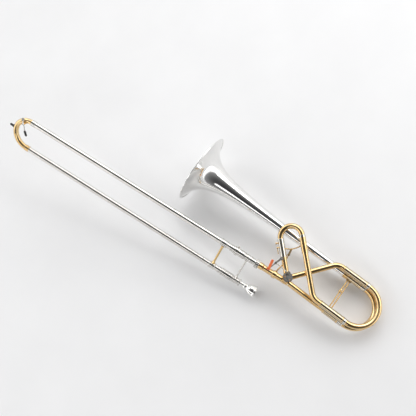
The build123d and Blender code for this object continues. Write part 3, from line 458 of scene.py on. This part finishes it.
def lever_spring_coil():
    """Torsion spring on the lever's post: four and a half turns and two short legs."""
    turns = 4.5
    steps = int(turns * 32)
    forward, over = LEVER_POST
    points = []
    for i in range(steps + 1):
        turn = 2 * math.pi * turns * i / steps
        rise = LEVER_COIL_FOOT + LEVER_COIL_RISE * i / steps
        ahead = forward + LEVER_COIL_R * math.cos(turn)
        points.append(bell_point(ahead, rise, over + LEVER_COIL_R * math.sin(turn)))
    start = points[0] + (points[0] - points[1]).normalized() * 0.006
    end = points[-1] + (points[-1] - points[-2]).normalized() * 0.005
    coil = wire("lever_spring_coil", [start] + points + [end], 0.5, steel, "instrument")
    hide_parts("lever_spring")


def water_key_spring():
    """Fine torsion spring beside the water key's arms, with one leg along the long arm."""
    lean = math.radians(WATER_KEY_TURN)
    outward = SLIDE_FORWARD * math.sin(lean) - SLIDE_SIDE * math.cos(lean)
    along = SLIDE_FORWARD * math.cos(lean) + SLIDE_SIDE * math.sin(lean)
    pin = slide_point(*WATER_KEY_PIN)
    turns = 2.25
    steps = int(turns * 24)
    points = []
    for i in range(steps + 1):
        turn = 2 * math.pi * turns * i / steps
        spoke = outward * math.cos(turn) + SLIDE_UP * math.sin(turn)
        shift = 1.75 + 1.1 * i / steps
        points.append(pin + (along * shift + spoke * WATER_KEY_COIL_R) * 0.001)
    start = points[0] - SLIDE_UP * 0.0025
    end = pin + (along * 0.9 - outward * 9.0 - SLIDE_UP) * 0.001
    wire("water_key_spring", [start] + points + [end], 0.3, steel, "water_key")


sleeve_beads("main", MAIN_SLEEVE_R, MAIN_LEGS, 0, MAIN_SLEEVE_ENDS)
sleeve_beads("long", LONG_SLEEVE_R, LONG_LEGS, LONG_LEGS_OUT, LONG_SLEEVE_ENDS)
brace_beads("outer", OUTER_SOCKET_ENDS, 1.0, "outer_slide")
brace_beads("inner", INNER_SOCKET_ENDS, 0.9, "instrument")
lever_spring_coil()
water_key_spring()

# ---------------------------------------------------------------- studio


def floor():
    """Pale floor, very slightly clouded."""
    mesh = bpy.data.meshes.new("floor")
    half = 6.0
    top = -0.0004
    corners = [(-half, -half, top), (half, -half, top), (half, half, top), (-half, half, top)]
    mesh.from_pydata(corners, [], [(0, 1, 2, 3)])
    obj = bpy.data.objects.new("floor", mesh)
    bpy.context.scene.collection.objects.link(obj)
    mat, tree, shader = new_material("pale_floor")
    vector = own_axes(tree, (0, 0, 0), (1, 1, 1))
    clouds = noise(tree, vector, 4.0, 3.0)
    colour = blend_colours(tree, clouds, (0.86, 0.86, 0.86), (0.89, 0.89, 0.89))
    tree.links.new(colour, shader.inputs["Base Color"])
    shader.inputs["Roughness"].default_value = 0.75
    mesh.materials.append(mat)


def sky():
    """Soft studio surroundings: bright near the horizon, with a dark patch high on one side."""
    world = bpy.data.worlds.new("studio")
    world.use_nodes = True
    tree = world.node_tree
    background = tree.nodes["Background"]
    coords = tree.nodes.new("ShaderNodeTexCoord")
    toward = tree.nodes.new("ShaderNodeVectorMath")
    toward.operation = "DOT_PRODUCT"
    toward.inputs[1].default_value = (-0.257, 0.412, 0.874)
    ramp = tree.nodes.new("ShaderNodeValToRGB")
    ramp.color_ramp.elements[0].position = 0.0
    ramp.color_ramp.elements[0].color = (0.50, 0.50, 0.50, 1)
    ramp.color_ramp.elements[1].position = 1.0
    ramp.color_ramp.elements[1].color = (0.02, 0.02, 0.022, 1)
    for position, grey in ((0.15, 0.75), (0.30, 0.95), (0.42, 0.80), (0.56, 0.14), (0.85, 0.05)):
        step = ramp.color_ramp.elements.new(position)
        step.color = (grey, grey, grey * 1.01, 1)
    tree.links.new(coords.outputs["Generated"], toward.inputs[0])
    tree.links.new(toward.outputs["Value"], ramp.inputs["Fac"])
    tree.links.new(ramp.outputs["Color"], background.inputs["Color"])
    background.inputs["Strength"].default_value = 2.1
    bpy.context.scene.world = world


def softbox(name, place, width, height, power):
    """Rectangular soft light aimed at the middle of the floor."""
    light = bpy.data.lights.new(name, "AREA")
    light.shape = "RECTANGLE"
    light.size = width
    light.size_y = height
    light.energy = power
    obj = bpy.data.objects.new(name, light)
    bpy.context.scene.collection.objects.link(obj)
    obj.location = place
    obj.rotation_euler = (-Vector(place)).to_track_quat("-Z", "Y").to_euler()


CAMERA_PLACE = Vector((-0.5050, 0.1648, 1.6901))
CAMERA_LOOK = Vector((0.28143, -0.08622, -0.95571)).normalized()
CAMERA_UP = Vector((0.49319, -0.84137, 0.22114))
LENS = 51.87
SENSOR_WIDTH = 36.0


def camera():
    """Camera nearly above the instrument, turned so that the slide runs to the upper left."""
    data = bpy.data.cameras.new("camera")
    data.lens = LENS
    data.sensor_width = SENSOR_WIDTH
    data.clip_start = 0.05
    obj = bpy.data.objects.new("camera", data)
    bpy.context.scene.collection.objects.link(obj)
    right = CAMERA_LOOK.cross(CAMERA_UP).normalized()
    up = right.cross(CAMERA_LOOK)
    turn = Matrix((right, up, -CAMERA_LOOK)).transposed()
    obj.matrix_world = Matrix.Translation(CAMERA_PLACE) @ turn.to_4x4()
    bpy.context.scene.camera = obj


floor()
sky()
softbox("strip_front", (-0.3, -1.7, 1.5), 3.4, 1.1, 24)
softbox("strip_back", (0.2, 1.8, 1.7), 3.2, 0.8, 13)
softbox("end_box", (2.2, -0.3, 1.3), 1.2, 0.9, 6)
camera()
bpy.context.scene.view_settings.view_transform = "Standard"
